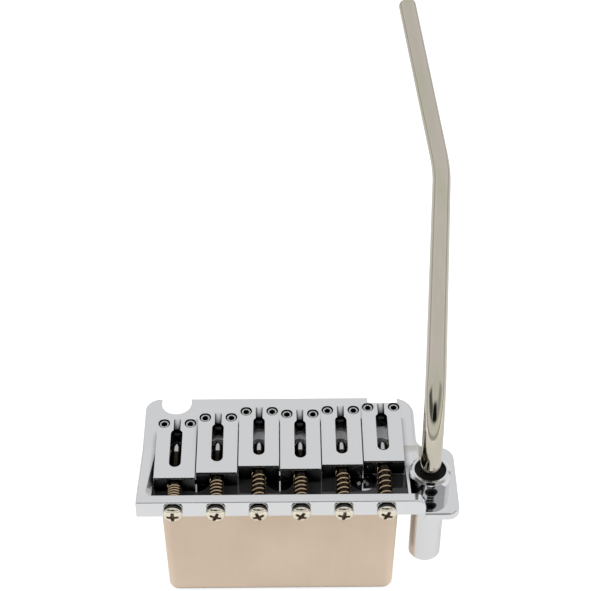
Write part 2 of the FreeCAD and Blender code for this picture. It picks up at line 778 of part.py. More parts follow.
def self_gap(edges, wire):
    """Least clear distance between stretches of a wire that lie over a half turn apart."""
    points = []
    travelled = 0.0
    for edge in edges:
        samples = edge.discretize(6)
        for place in samples[:-1]:
            points.append((travelled, place))
            travelled += edge.Length / 5
    apart = math.pi * (value("sizes.spring_diameter") - wire) / 2
    gaps = [(a - b).Length for i, (s, a) in enumerate(points) for (t, b) in points[i + 1:] if t - s > apart]
    return min(gaps) - wire


def wire_section(wire, place):
    """Six-sided section of a wire that runs along Y, with the area of the round one."""
    reach = wire / 2 * math.sqrt(2 * math.pi / (3 * math.sqrt(3)))
    corners = [place + Vector(math.cos(angle), 0, math.sin(angle)) * reach
               for angle in (math.radians(60 * step) for step in range(7))]
    return Part.makePolygon(corners)


def make_spring(number):
    """Compression spring as a wire swept along its coil."""
    play = value("sizes.spring_gap")
    wire = value("sizes.spring_wire")
    length = value("sizes.spring_length_%d" % number) - 2 * play
    edges, tightest = spring_path(length)
    path = Part.Wire(edges)
    start = edges[0].Vertexes[0].Point
    section = wire_section(wire, start)
    shell = Part.BRepOffsetAPI.MakePipeShell(path)
    shell.add(section)
    shell.build()
    shell.makeSolid()
    solid = shell.shape()
    swept = Part.Face(section).Area * path.Length
    print("intonation_spring_%d: gap %.2f, tightest radius %.2f, volume over swept %.4f" % (
        number, self_gap(edges, wire), tightest, solid.Volume / swept))
    spring = doc.addObject("Part::Feature", "intonation_spring_%d" % number)
    spring.Shape = solid
    spring.Placement = string_frame(number, value("sizes.wall_thick") / 2 + play)
    return spring


# Arm holder, bush, torque screw and arm

def make_arm_holder():
    body = new_body("arm_holder")
    collar = "sizes.collar_diameter / 2"
    shank = "sizes.shank_diameter / 2"
    bore = "sizes.collar_bore / 2"
    inner = "sizes.shank_bore / 2"
    bottom = "-sizes.shank_reach"
    revolve(body, [
        ("0", bottom), (shank + " - sizes.shank_bevel", bottom), (shank, bottom + " + sizes.shank_bevel"),
        (shank, "0"), (collar, "0"), (collar, "sizes.collar_height - sizes.collar_rim"),
        (collar + " - sizes.collar_rim", "sizes.collar_height"), (bore, "sizes.collar_height"),
        (bore, "sizes.collar_floor"), (inner, "sizes.collar_floor"),
        (inner, bottom + " + sizes.shank_base"), ("0", bottom + " + sizes.shank_base")])
    drill(body, "(sizes.torque_diameter + 2 * sizes.seat_play)", collar + " + %.1f" % CUT_MARGIN,
          ("0", "0", "sizes.torque_height"), Rotation(Vector(1, 0, 0), 90))
    body.Placement = Placement(Vector(value(HOLDER_X), value(HOLDER_Y), 0), Rotation())
    return body


def make_arm_bush():
    """Stepped sleeve between the holder and the arm."""
    body = new_body("arm_bush")
    head = "sizes.collar_bore / 2 - sizes.bush_play"
    sleeve = "sizes.shank_bore / 2 - sizes.bush_play"
    bore = "sizes.arm_diameter / 2 + sizes.arm_play"
    step = "sizes.collar_floor + sizes.bush_play"
    top = "sizes.collar_height - sizes.bush_recess"
    revolve(body, [
        (bore, "-sizes.bush_reach"), (sleeve, "-sizes.bush_reach"), (sleeve, step), (head, step),
        (head, top), (bore, top)])
    body.Placement = Placement(Vector(value(HOLDER_X), value(HOLDER_Y), 0), Rotation())
    return body


def make_torque_screw():
    """Short grub screw in the collar's rear wall that presses on the bush."""
    body = new_body("torque_screw")
    outer = "(sizes.collar_diameter / 2 - sizes.torque_recess)"
    inner = "(sizes.collar_bore / 2)"
    radius = "sizes.torque_diameter / 2"
    edge = "sizes.torque_edge"
    revolve(body, [
        ("0", "-" + outer), ("%s - %s" % (radius, edge), "-" + outer), (radius, "%s - %s" % (edge, outer)),
        (radius, "-" + inner), ("0", "-" + inner)], role="XY_Plane")
    socket = sketch_on(body, "XZ_Plane", outer)
    closed_profile(socket, hexagon("sizes.torque_hex"))
    pocket(body, socket, "sizes.torque_hex_depth")
    body.Placement = Placement(
        Vector(value(HOLDER_X), value(HOLDER_Y), value("sizes.torque_height")), Rotation())
    return body


def heading(swing, rise):
    """Unit vector that swings from +Y towards +X and rises from the level, in degrees."""
    swing, rise = math.radians(value(swing)), math.radians(value(rise))
    return Vector(math.sin(swing) * math.cos(rise), math.cos(swing) * math.cos(rise), math.sin(rise))


def rounded_route(corners, radii):
    """Straight runs through the corners, joined by tangent arcs of the given radii."""
    edges = []
    place = corners[0]
    for before, corner, after, radius in zip(corners, corners[1:], corners[2:], radii):
        back = (before - corner).normalize()
        onward = (after - corner).normalize()
        half_angle = math.acos(back.dot(onward)) / 2
        setback = radius / math.tan(half_angle)
        entry, leave = corner + back * setback, corner + onward * setback
        edges += [Part.makeLine(place, entry), TangentArc(entry, back * -1, leave).edge()]
        place = leave
    edges.append(Part.makeLine(place, corners[-1]))
    return edges


def make_arm():
    """Bent round bar: upright post, long run, kink and end run, with its tip rounded."""
    radius = value("sizes.arm_diameter") / 2
    foot = Vector(0, 0, -value("sizes.arm_insertion"))
    bend = Vector(0, 0, value("sizes.arm_post"))
    kink = bend + heading("sizes.arm_run_swing", "sizes.arm_run_rise") * value("sizes.arm_run")
    way = heading("sizes.arm_end_swing", "sizes.arm_end_rise")
    tip = kink + way * value("sizes.arm_end")
    edges = rounded_route([foot, bend, kink, tip], [value("sizes.arm_bend"), value("sizes.arm_kink")])
    shell = Part.BRepOffsetAPI.MakePipeShell(Part.Wire(edges))
    shell.add(Part.Wire(Part.makeCircle(radius, foot, Vector(0, 0, 1))))
    shell.build()
    shell.makeSolid()
    solid = shell.shape()
    ends = [number for number, edge in enumerate(solid.Edges)
            if all((vertex.Point - tip).Length < radius + 1e-3 for vertex in edge.Vertexes)
            and abs((edge.valueAt(edge.FirstParameter) - tip).dot(way)) < 1e-4]
    solid = solid.makeFillet(value("sizes.arm_tip_round"), [solid.Edges[ends[0]]])
    arm = doc.addObject("Part::Feature", "tremolo_arm")
    arm.Shape = solid
    arm.Placement = Placement(Vector(value(HOLDER_X), value(HOLDER_Y), 0), Rotation())
    return arm


def make_all():
    pieces = [make_base_plate(), make_sustain_block()]
    pieces += make_block_screws()
    pieces += make_saddles()
    pieces += make_intonation_screws()
    for number in range(1, 7):
        pieces += make_height_screws(number)
        pieces.append(make_spring(number))
    pieces += [make_arm_holder(), make_arm_bush(), make_torque_screw(), make_arm()]
    doc.recompute()
    return pieces


def check_and_write(pieces):
    """Stop on any failed object, then write one file per piece."""
    for item in doc.Objects:
        if "Invalid" in item.State or "Error" in item.State:
            raise RuntimeError("%s failed: %s" % (item.Label, item.State))
    shapes = {}
    for piece in pieces:
        shape = Part.getShape(piece)
        if shape.isNull() or not shape.isValid() or len(shape.Solids) != 1:
            raise RuntimeError("%s has no single valid solid" % piece.Label)
        shapes[piece.Label] = shape.Solids[0]
    os.makedirs("parts", exist_ok=True)
    for label, solid in shapes.items():
        solid.exportStep("parts/%s.step" % label)
    print("%d pieces written" % len(shapes))


check_and_write(make_all())
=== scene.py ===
"""Looks of the guitar tremolo bridge: camera, light, materials, coiled springs and cut screws."""
import json
import math

import bpy
from mathutils import Matrix, Vector


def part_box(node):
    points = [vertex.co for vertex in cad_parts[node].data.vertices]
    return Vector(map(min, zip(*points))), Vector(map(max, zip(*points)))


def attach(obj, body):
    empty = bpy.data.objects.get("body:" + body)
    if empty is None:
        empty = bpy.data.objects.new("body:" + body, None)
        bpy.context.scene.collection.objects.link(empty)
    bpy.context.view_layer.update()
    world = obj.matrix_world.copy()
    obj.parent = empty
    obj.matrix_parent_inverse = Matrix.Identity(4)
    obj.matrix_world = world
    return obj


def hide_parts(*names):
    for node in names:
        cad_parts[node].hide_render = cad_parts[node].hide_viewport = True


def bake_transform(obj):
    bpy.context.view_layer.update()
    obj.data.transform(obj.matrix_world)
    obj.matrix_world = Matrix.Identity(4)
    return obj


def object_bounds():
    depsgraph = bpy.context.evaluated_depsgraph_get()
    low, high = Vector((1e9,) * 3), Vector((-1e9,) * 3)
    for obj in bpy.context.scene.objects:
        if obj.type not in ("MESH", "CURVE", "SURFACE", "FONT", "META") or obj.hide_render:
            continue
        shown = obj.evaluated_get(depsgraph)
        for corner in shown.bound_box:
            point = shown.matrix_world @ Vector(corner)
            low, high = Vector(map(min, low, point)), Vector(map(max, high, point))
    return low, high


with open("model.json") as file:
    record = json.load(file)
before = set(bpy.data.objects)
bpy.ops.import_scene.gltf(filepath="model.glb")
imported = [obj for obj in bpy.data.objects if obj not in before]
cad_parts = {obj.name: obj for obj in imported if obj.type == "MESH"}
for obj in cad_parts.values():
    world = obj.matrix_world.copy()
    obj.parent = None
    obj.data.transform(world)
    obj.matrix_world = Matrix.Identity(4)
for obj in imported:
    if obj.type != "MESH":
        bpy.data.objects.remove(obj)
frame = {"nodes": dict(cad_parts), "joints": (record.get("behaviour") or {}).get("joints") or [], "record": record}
cad_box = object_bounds()

MM = 0.001
STRINGS = range(1, 7)

# Sizes shared with the solids, in millimetres
WALL = 2.5
SPRING_LENGTHS = (5.8, 7.45, 9.55, 8.45, 9.8, 10.95)
SPRING_RADIUS = 1.71
SPRING_WIRE = 0.46
SPRING_PLAY = 0.1
HEAD_RADIUS = 2.45
HEAD_HEIGHT = 2.1
HEAD_GAP = 0.25
SHANK_RADIUS = 1.45
SHANK_REACH = 22.5
THREAD_LEAD = 0.5
SADDLE_LENGTH = 21.3
SADDLE_TOP = 2.75
HEIGHT_SETBACK = 2.0
HEIGHT_SPACING = 6.9
HEIGHT_RADIUS = 1.5
HEIGHT_RECESS = 0.3
HEIGHT_HEX = 1.5
HEIGHT_TIP_CUT = 0.5

# Boxes of the plate's tray, of its floor by the wall, which is painted dark as shade, and of what the saddles
# cover, in millimetres
TRAY = ((-34.0, 34.0), (-34.0, -2.0), (-3.0, 7.0))
TRAY_FLOOR = ((-32.6, 32.6), (-33.8, -22.5), (-0.3, 0.3))
UNDER_SADDLES = ((-32.5, 32.5), (-22.5, -5.0), (-2.3, 0.3))
BOX_SOFTNESS = 0.1

# Solids whose finish is a variant of their slot's, some of them with painted shade
FINISHES = {
    "torque_screw": "black_steel_and_shade",
    "base_plate": "plate_chrome_painted_shade",
    **{"saddle_%d" % number: "saddle_chrome" for number in STRINGS},
    **{"block_screw_" + place: "nose_steel" for place in ("bass", "middle", "treble")},
}


# Camera, in millimetres and degrees: the one that the photograph's edges and known sizes give

CAMERA_PLACE = (1.676, -297.255, 302.231)
CAMERA_PITCH, CAMERA_YAW, CAMERA_ROLL = 41.16, -0.49, -0.09
CAMERA_LENS = 95.23
CAMERA_SENSOR = 36.0
CAMERA_NEAREST = 10.0


def add_camera():
    """Camera that looks down by its pitch, turned by its yaw and leaning by its roll."""
    pitch, yaw, roll = (math.radians(angle) for angle in (CAMERA_PITCH, CAMERA_YAW, CAMERA_ROLL))
    turn = Matrix.Rotation(yaw, 3, "Z")
    ahead = turn @ Vector((0, math.cos(pitch), -math.sin(pitch)))
    up = turn @ Vector((0, math.sin(pitch), math.cos(pitch)))
    right = turn @ Vector((1, 0, 0))
    level = right * math.cos(roll) + up * math.sin(roll)
    tall = up * math.cos(roll) - right * math.sin(roll)
    rotation = Matrix((level, tall, -ahead)).transposed().to_4x4()
    data = bpy.data.cameras.new("camera")
    data.sensor_fit = "HORIZONTAL"
    data.sensor_width = CAMERA_SENSOR
    data.lens = CAMERA_LENS
    data.clip_start = CAMERA_NEAREST * MM
    camera = bpy.data.objects.new("camera", data)
    camera.matrix_world = Matrix.Translation(Vector(CAMERA_PLACE) * MM) @ rotation
    bpy.context.scene.collection.objects.link(camera)
    bpy.context.scene.camera = camera


# Node helpers: a source is a fixed value or the output of another node

NOISE_LOW, NOISE_HIGH = 0.35, 0.65
BEVEL_SAMPLES, RECESS_SAMPLES = 4, 8


def feed(tree, source, socket):
    """Link a socket to its source, or set it where the source is a fixed value."""
    if isinstance(source, bpy.types.NodeSocket):
        tree.links.new(source, socket)
    else:
        socket.default_value = source


def node(tree, kind, **values):
    """A node with properties and input values set by name."""
    made = tree.nodes.new(kind)
    for name, setting in values.items():
        if name in made.inputs:
            made.inputs[name].default_value = setting
        else:
            setattr(made, name, setting)
    return made


def noise(tree, where, scale, detail, stretch=None):
    """Noise over the part's own coordinates, drawn out where the stretch is below 1."""
    if stretch:
        mapping = node(tree, "ShaderNodeMapping", Scale=stretch)
        feed(tree, where, mapping.inputs["Vector"])
        where = mapping.outputs["Vector"]
    made = node(tree, "ShaderNodeTexNoise", Scale=scale, Detail=detail)
    feed(tree, where, made.inputs["Vector"])
    return made.outputs["Fac"]


def spread(tree, source, low, high, start=NOISE_LOW, stop=NOISE_HIGH):
    """Map a value from start..stop to low..high."""
    made = node(tree, "ShaderNodeMapRange")
    limits = {"From Min": start, "From Max": stop, "To Min": low, "To Max": high}
    for name, limit in limits.items():
        made.inputs[name].default_value = limit
    feed(tree, source, made.inputs["Value"])
    return made.outputs["Result"]


def fade(tree, source, start, stop):
    """Smooth step of a value from 0 at start to 1 at stop; start may be the larger."""
    made = node(tree, "ShaderNodeMapRange", interpolation_type="SMOOTHSTEP")
    made.inputs["From Min"].default_value = start
    made.inputs["From Max"].default_value = stop
    feed(tree, source, made.inputs["Value"])
    return made.outputs["Result"]


def combine(tree, operation, first, second=0.0):
    """A sum, product or the like of two values; some operations need only the first."""
    made = node(tree, "ShaderNodeMath", operation=operation)
    feed(tree, first, made.inputs[0])
    feed(tree, second, made.inputs[1])
    return made.outputs[0]


def mix_colours(tree, share, first, second):
    """Colour that goes from first to second as share goes from 0 to 1."""
    mix = node(tree, "ShaderNodeMix", data_type="RGBA")
    for name, source in (("Factor", share), ("A", first), ("B", second)):
        feed(tree, source, mix.inputs[name])
    return mix.outputs["Result"]


def bump(tree, height, strength, distance, before=None):
    """Normal that follows a height map, on top of the normal before it."""
    made = node(tree, "ShaderNodeBump", Strength=strength, Distance=distance * MM)
    feed(tree, height, made.inputs["Height"])
    if before:
        feed(tree, before, made.inputs["Normal"])
    return made.outputs["Normal"]


def soft_edges(tree, radius):
    """Normal that rounds sharp edges over, as plating and tumbling do."""
    made = node(tree, "ShaderNodeBevel", samples=BEVEL_SAMPLES, Radius=radius * MM)
    return made.outputs["Normal"]


def inside(tree, where, box):
    """Mask of a box given by its limits in millimetres along X, Y and Z."""
    split = node(tree, "ShaderNodeSeparateXYZ")
    feed(tree, where, split.inputs[0])
    mask = None
    for axis, (low, high) in zip("XYZ", box):
        for limit, inward in ((low, BOX_SOFTNESS), (high, -BOX_SOFTNESS)):
            step = fade(tree, split.outputs[axis], limit * MM, (limit + inward) * MM)
            mask = combine(tree, "MULTIPLY", mask, step) if mask else step
    return mask


def new_material(name):
    """A material with its shader and the part's coordinates."""
    material = bpy.data.materials.new(name)
    material.use_nodes = True
    tree = material.node_tree
    shader = tree.nodes["Principled BSDF"]
    where = node(tree, "ShaderNodeTexCoord").outputs["Object"]
    return material, tree, shader, where


# Materials: lengths in millimetres, roughness as a range

CHROME = (0.83, 0.84, 0.85, 1.0)
# Colour of the painted shade in deep recesses
PAINTED_SHADE_COLOUR = (0.012, 0.012, 0.012, 1.0)
# Colour of the tray's floor by the wall, painted dark as shade
TRAY_SHADE_COLOUR = (0.05, 0.05, 0.052, 1.0)
COAT_TONES = ((0.3, (0.585, 0.465, 0.352, 1.0)), (0.7, (0.635, 0.515, 0.4, 1.0)))
BUSH_BLACK = (0.006, 0.006, 0.006, 1.0)
MIRROR, GROUND, BRIGHT = (0.03, 0.07), (0.05, 0.1), (0.06, 0.12)
DRAWN, TURNED, ROLLED = (0.1, 0.18), (0.14, 0.24), (0.2, 0.34)
CUT, BLACKENED = (0.24, 0.4), (0.25, 0.4)
BRUSHED, MOULDED = (0.36, 0.5), (0.42, 0.6)
FLOOR_BARE = 0.5
SATIN_BARE, SATIN_ROUGH = 0.95, 0.5
COAT_METALLIC, COAT_EDGE = 0.25, 0.3
BUSH_SHEEN = 0.2

# Painted shade in recesses: reach of a recess, the openness at which the shade is darkest and the one at which it
# is as outside
TRAY_RECESS_SHADE = (3.0, 0.45, 0.8)
SADDLE_RECESS_SHADE = (4.5, 0.6, 0.92)
BLOCK_RECESS_SHADE = (3.0, 0.4, 0.75)

# Noise patterns: features per metre, detail and, where drawn out, the stretch along X, Y and Z
CLOUD = (260.0, 4.0)
WAVES = (110.0, 1.0)
SCRATCHES = (900.0, 5.0, (1.0, 0.05, 1.0))
TINTS = (240.0, 5.0, (1.0, 0.16, 0.16))
COAT_CLOUD = (55.0, 5.0)
COAT_GRAIN = (2600.0, 2.0)
COAT_BRUSHING = (700.0, 4.0, (1.0, 1.0, 0.04))
BUSH_MOTTLE = (700.0, 4.0)

# Heights of bumps, for the coat and the bush after their strength
WAVE_HEIGHT, SCRATCH_HEIGHT = 0.4, 0.02
COAT_BRUSH_BUMP, COAT_GRAIN_BUMP = (0.08, 0.1), (0.12, 0.06)
BUSH_BUMP = (0.15, 0.1)


def painted_recess_shade(tree, colour, reach, shut, free, spared=None):
    """A colour darkened by painted shade in deep recesses, except where spared is 1."""
    nearby = node(tree, "ShaderNodeAmbientOcclusion", samples=RECESS_SAMPLES,
                  Distance=reach * MM)
    openness = spread(tree, nearby.outputs["AO"], 0.0, 1.0, shut, free)
    if spared:
        openness = combine(tree, "MAXIMUM", openness, spared)
    return mix_colours(tree, openness, PAINTED_SHADE_COLOUR, colour)


def tray_finish_and_shade(tree, where, colour, roughness):
    """Colour, plating and roughness of the tray: painted shade by the wall and in recesses, satin under the
    saddles.
    """
    by_wall = inside(tree, where, TRAY_FLOOR)
    under = inside(tree, where, UNDER_SADDLES)
    outside = combine(tree, "SUBTRACT", 1.0, inside(tree, where, TRAY))
    satin_or_shaded = combine(tree, "MAXIMUM", under, by_wall)
    spared = combine(tree, "MAXIMUM", satin_or_shaded, outside)
    # Painted shade: the floor by the wall is painted dark and the rest of the tray darkens in its recesses
    colour = painted_recess_shade(tree, mix_colours(tree, by_wall, colour, TRAY_SHADE_COLOUR), *TRAY_RECESS_SHADE, spared)
    bare = combine(tree, "ADD", combine(tree, "MULTIPLY", under, SATIN_BARE),
                   combine(tree, "MULTIPLY", by_wall, FLOOR_BARE))
    plating = combine(tree, "SUBTRACT", 1.0, bare)
    satin = combine(tree, "MULTIPLY", under, SATIN_ROUGH)
    return colour, plating, combine(tree, "MAXIMUM", roughness, satin)


def metal(name, colour, rough, waviness=0.0, scratch=0.0, edge=0.0, plating=1.0,
          recess=None, tray=False, tint=None):
    """Plated metal: cloudy polish, faint waves under the plating, fine scratches and painted shade where asked."""
    material, tree, shader, where = new_material(name)
    roughness = spread(tree, noise(tree, where, *CLOUD), *rough)
    if tint:
        drift = spread(tree, noise(tree, where, *TINTS), 0.0, 1.0)
        colour = mix_colours(tree, drift, colour, tint)
    # Painted shade: the colour darkens where the surface lies deep in a recess
    if recess:
        colour = painted_recess_shade(tree, colour, *recess)
    if tray:
        colour, plating, roughness = tray_finish_and_shade(tree, where, colour, roughness)
    normal = soft_edges(tree, edge) if edge else None
    if waviness:
        normal = bump(tree, noise(tree, where, *WAVES), waviness, WAVE_HEIGHT, normal)
    if scratch:
        normal = bump(tree, noise(tree, where, *SCRATCHES), scratch, SCRATCH_HEIGHT, normal)
    feed(tree, colour, shader.inputs["Base Color"])
    feed(tree, plating, shader.inputs["Metallic"])
    feed(tree, roughness, shader.inputs["Roughness"])
    if normal:
        feed(tree, normal, shader.inputs["Normal"])
    return material


def chrome(name, **variant):
    """The mirror plating of the plate, the saddles and the arm's holder."""
    return metal(name, CHROME, MIRROR, waviness=0.012, edge=0.15, **variant)


def satin_block():
    """Coated block: warm coat with a fine sanded tooth, slight cloudiness and painted shade in its bores and
    recesses.
    """
    material, tree, shader, where = new_material("block_coat")
    shader.inputs["Metallic"].default_value = COAT_METALLIC
    ramp = node(tree, "ShaderNodeValToRGB")
    for element, (position, tone) in zip(ramp.color_ramp.elements, COAT_TONES):
        element.position = position
        element.color = tone
    feed(tree, noise(tree, where, *COAT_CLOUD), ramp.inputs["Fac"])
    # Painted shade: the coat darkens in the block's bores and where the plate covers it
    colour = painted_recess_shade(tree, ramp.outputs["Color"], *BLOCK_RECESS_SHADE)
    grain = noise(tree, where, *COAT_GRAIN)
    brushing = noise(tree, where, *COAT_BRUSHING)
    normal = bump(tree, brushing, *COAT_BRUSH_BUMP, soft_edges(tree, COAT_EDGE))
    feed(tree, colour, shader.inputs["Base Color"])
    feed(tree, spread(tree, brushing, *BRUSHED), shader.inputs["Roughness"])
    feed(tree, bump(tree, grain, *COAT_GRAIN_BUMP, normal), shader.inputs["Normal"])
    return material


def bush_plastic():
    """Black moulded bush with a dull, faintly mottled skin."""
    material, tree, shader, where = new_material("bush_black")
    shader.inputs["Base Color"].default_value = BUSH_BLACK
    shader.inputs["Specular IOR Level"].default_value = BUSH_SHEEN
    mottle = noise(tree, where, *BUSH_MOTTLE)
    feed(tree, spread(tree, mottle, *MOULDED), shader.inputs["Roughness"])
    feed(tree, bump(tree, mottle, *BUSH_BUMP), shader.inputs["Normal"])
    return material


def make_materials():
    """Every finish by name: the record's slots and the variants that only the looks need."""
    return {
        "chrome_plate": chrome("chrome"),
        "plate_chrome_painted_shade": chrome("plate_chrome_painted_shade", tray=True),
        # Saddles' chrome with painted shade in their slots and in the gaps between them
        "saddle_chrome": chrome("saddle_chrome", recess=SADDLE_RECESS_SHADE),
        "bright_nickel": metal("nickel", (0.66, 0.603, 0.53, 1.0), BRIGHT, waviness=0.01,
                               scratch=0.1, edge=0.1, tint=(0.61, 0.585, 0.46, 1.0)),
        # A lighter copy of the screws' nickel for the heads: a painted brighter reflection
        "lit_head_nickel": metal("lit_head_nickel", (0.9, 0.83, 0.69, 1.0), BRIGHT, waviness=0.01,
                             scratch=0.1),
        # The heads' nickel painted dark in the cross recess as shade
        "recess_shade_nickel": metal("recess_shade_nickel", (0.22, 0.16, 0.1, 1.0), CUT, scratch=0.3, plating=0.5),
        # The shank's steel painted nearly black as shade
        "shaded_thread_steel": metal("shaded_thread_steel", (0.07, 0.058, 0.045, 1.0), ROLLED, scratch=0.3),
        "nose_steel": metal("nose_steel", (0.6, 0.6, 0.61, 1.0), GROUND, scratch=0.1),
        "grub_steel": metal("grub", (0.62, 0.62, 0.62, 1.0), TURNED, scratch=0.2),
        # Blackened steel of the torque screw, also used as painted shade on the heads' flanks and in the height
        # screws' sockets
        "black_steel_and_shade": metal("black_steel_and_shade", (0.05, 0.05, 0.055, 1.0), BLACKENED, scratch=0.2),
        "spring_wire": metal("wire", (0.66, 0.51, 0.33, 1.0), DRAWN, scratch=0.15),
        "block_metal": satin_block(),
        "bush_plastic": bush_plastic(),
    }


def dress_nodes(materials):
    """Give every solid the finish of its own, or else the material of its slot in the record."""
    for part in frame["record"]["subparts"]:
        mesh = frame["nodes"][part["node"]].data
        mesh.materials.clear()
        finish = FINISHES.get(part["node"], part["material_slot"])
        mesh.materials.append(materials[finish])


# Meshes built from rings of points, in millimetres

CENTRE_RADIUS = 0.02
SHARP_ANGLE = 38.0


def screw_joint(number):
    """The joint on which a string's intonation screw turns, which lies on the screw's axis."""
    return next(item for item in frame["joints"] if item["name"] == "screw_%d_turn" % number)


def string_matrix(number):
    """Frame on a string's screw axis: origin in the middle of the wall, Y along the screw."""
    joint = screw_joint(number)
    along = Vector(joint["axis"])
    across = Vector((1, 0, 0))
    upward = across.cross(along)
    turn = Matrix((across, along, upward)).transposed().to_4x4()
    return Matrix.Translation(Vector(joint["pos_m"])) @ turn


def add_mesh(name, rings, place, finishes):
    """A smooth-shaded mesh through rings of points in the frame of place, closed at both ends."""
    mesh = bpy.data.meshes.new(name)
    points = [place @ (Vector(point) * MM) for ring in rings for point in ring]
    mesh.from_pydata(points, [], ring_faces(len(rings), len(rings[0])))
    mesh.update()
    mesh.shade_smooth()
    mesh.set_sharp_from_angle(angle=math.radians(SHARP_ANGLE))
    for finish in finishes:
        mesh.materials.append(finish)
    made = bpy.data.objects.new(name, mesh)
    bpy.context.scene.collection.objects.link(made)
    return made


def ring_faces(rings, sides):
    """Quads between successive rings of the same number of points, and a cap at each end."""
    faces = []
    for ring in range(rings - 1):
        for side in range(sides):
            after = (side + 1) % sides
            low, high = ring * sides, (ring + 1) * sides
            faces.append((low + side, low + after, high + after, high + side))
    faces.append(tuple(range(sides - 1, -1, -1)))
    faces.append(tuple(range((rings - 1) * sides, rings * sides)))
    return faces


def round_angles(sides):
    """Angles of the points of a ring."""
    return [2 * math.pi * side / sides for side in range(sides)]


def circle(radius, height, sides):
    """Ring round the Y axis."""
    return [(radius * math.cos(angle), height, radius * math.sin(angle))
            for angle in round_angles(sides)]


def level_circle(radius, height, sides):
    """Ring round the Z axis."""
    return [(x, z, y) for x, y, z in circle(radius, height, sides)]


def hexagon(across_flats, height, sides):
    """Ring of points on a hexagon round the Z axis, with a point at each corner."""
    points = []
    for angle in round_angles(sides):
        reach = across_flats / 2 / math.cos(angle % (math.pi / 3) - math.pi / 6)
        points.append((reach * math.cos(angle), reach * math.sin(angle), height))
    return points


def smooth_step(low, high, amount):
    """0 below low, 1 above high and smooth between; low may be the larger."""
    share = min(max((amount - low) / (high - low), 0.0), 1.0)
    return share * share * (3 - 2 * share)


# Intonation screws, in millimetres; the heads' crosses are turned by degrees

CROSS_TURNS = (0.0, 22.0, 68.0, 30.0, 8.0, 24.0)
CROSS_HALF_WIDTH = 0.46
CROSS_TAPER, CROSS_TAPER_END = 0.08, 1.4
CROSS_LIP_INSIDE, CROSS_LIP_OUTSIDE = 0.09, 0.05
CROSS_TIP_START, CROSS_TIP_END = 1.38, 1.52
CROSS_DEPTH, CROSS_RISE = 1.7, 0.5
# Depth beyond which the cross recess takes its painted shade
CROSS_SHADE_DEPTH = 0.12
HEAD_RIM = 0.85
HEAD_FLAT = 0.4
HEAD_SEAT_BEVEL = 0.12
HEAD_SIDES = 128
DOME_STEPS = 44
SHANK_SIDES = 32
SHANK_OVERLAP = 0.05
THREAD_DEPTH = 0.24
THREAD_CREST, THREAD_ROOT = 0.2, 0.8
THREAD_STEPS = 6
THREAD_RUNOUT = 0.6
SMOOTH_LENGTH = 3.6
NOSE_LENGTH = 2.8
NOSE_RADIUS = 0.3


def recess_depth(x, z, turn):
    """Depth of a head's turned cross recess, with four tapering wings, at a place on the head."""
    across = x * math.cos(turn) + z * math.sin(turn)
    along = z * math.cos(turn) - x * math.sin(turn)
    deepest = 0.0
    for u, v in ((abs(across), abs(along)), (abs(along), abs(across))):
        half = CROSS_HALF_WIDTH - CROSS_TAPER * min(v, CROSS_TAPER_END)
        side = 1 - smooth_step(half - CROSS_LIP_INSIDE, half + CROSS_LIP_OUTSIDE, u)
        reach = 1 - smooth_step(CROSS_TIP_START, CROSS_TIP_END, v)
        deepest = max(deepest, side * reach * (CROSS_DEPTH - CROSS_RISE * v))
    return deepest


def head_rings(turn):
    """Rings of points from the middle of the head's crown to its seat."""
    seat = -WALL / 2 - HEAD_GAP
    crown = seat - HEAD_HEIGHT
    rings = []
    for step in range(DOME_STEPS + 1):
        share = math.sin(math.pi / 2 * step / DOME_STEPS)
        radius = CENTRE_RADIUS + (HEAD_RADIUS - CENTRE_RADIUS) * share
        bulge = max(0.0, (radius - HEAD_FLAT) / (HEAD_RADIUS - HEAD_FLAT))
        fall = (HEAD_HEIGHT - HEAD_RIM) * (1 - math.sqrt(max(0.0, 1 - bulge ** 2)))
        rings.append([(x, height + recess_depth(x, z, turn), z)
                      for x, height, z in circle(radius, crown + fall, HEAD_SIDES)])
    rings.append(circle(HEAD_RADIUS, seat - HEAD_SEAT_BEVEL, HEAD_SIDES))
    rings.append(circle(HEAD_RADIUS - HEAD_SEAT_BEVEL, seat, HEAD_SIDES))
    rings.append(circle(SHANK_RADIUS, seat, HEAD_SIDES))
    return rings


def thread_rings():
    """Rings along the shank: a rolled thread, then a smooth stretch and a rounded nose."""
    start = -WALL / 2 - HEAD_GAP + SHANK_OVERLAP
    stop = SHANK_REACH - WALL / 2
    smooth_from = stop - SMOOTH_LENGTH
    count = int((stop - start) / THREAD_LEAD * THREAD_STEPS)
    rings = []
    for step in range(count + 1):
        height = start + (stop - start) * step / count
        cut = smooth_step(start, start + THREAD_RUNOUT, height)
        cut *= smooth_step(smooth_from, smooth_from - THREAD_RUNOUT, height)
        nose = max(0.0, (height - stop + NOSE_LENGTH) / NOSE_LENGTH)
        taper = (SHANK_RADIUS - NOSE_RADIUS) * (1 - math.sqrt(max(0.0, 1 - nose * nose)))
        ring = []
        for side, angle in enumerate(round_angles(SHANK_SIDES)):
            phase = (height / THREAD_LEAD - side / SHANK_SIDES) % 1.0
            flank = smooth_step(THREAD_CREST, THREAD_ROOT, 2 * abs(phase - 0.5))
            radius = SHANK_RADIUS - THREAD_DEPTH * flank * cut - taper
            ring.append((radius * math.cos(angle), height, radius * math.sin(angle)))
        rings.append(ring)
    return rings


